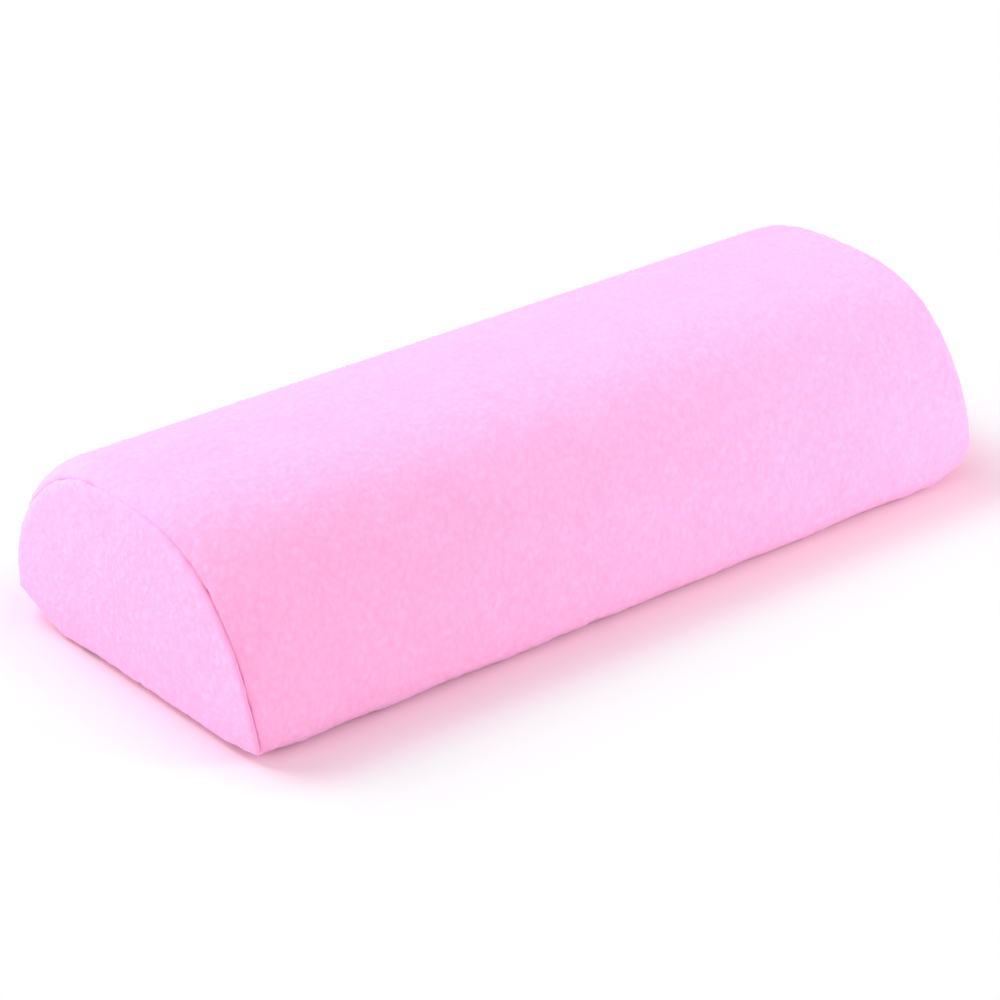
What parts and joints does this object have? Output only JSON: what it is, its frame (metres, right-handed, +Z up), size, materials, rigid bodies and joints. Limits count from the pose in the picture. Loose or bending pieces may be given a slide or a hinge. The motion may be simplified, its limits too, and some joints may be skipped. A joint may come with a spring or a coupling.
{
  "type": "manicure hand rest",
  "caption": "Half-round foam hand rest in a washable pink pile-cloth cover with a zip in its base, for supporting a hand during a manicure.",
  "frame": {"origin": "middle of the flat base, on the table", "axes": "+X along the rest, +Y from the picture's front long side to the rear, +Z up; the picture shows the -X end"},
  "size_m": [0.29, 0.129, 0.063],
  "materials": {
    "pile_cloth": "matte",
    "foam": "matte",
    "zip_tape": "matte",
    "zip_coil": "satin",
    "zip_metal": "satin"
  },
  "bodies": {
    "cover": {"foam_core": "foam", "top_panel": "pile_cloth", "left_end_panel": "pile_cloth", "right_end_panel": "pile_cloth", "base_front_panel": "pile_cloth", "base_rear_panel": "pile_cloth", "zip_tape_front": "zip_tape", "zip_tape_rear": "zip_tape", "zip_coil_front": "zip_coil", "zip_coil_rear": "zip_coil"},
    "slider": {"zip_slider": "zip_metal"},
    "pull": {"zip_pull": "zip_metal"}
  },
  "joints": [
    {"name": "zip_slide", "type": "slide", "parent": "cover", "child": "slider", "axis": [-1, 0, 0], "range_m": [0, 0.238]},
    {"name": "pull_swing", "type": "hinge", "parent": "slider", "child": "pull", "pos_m": [0.119, 0.02, 0.00268], "axis": [0, -1, 0], "range_deg": [-5, 164]}
  ]
}
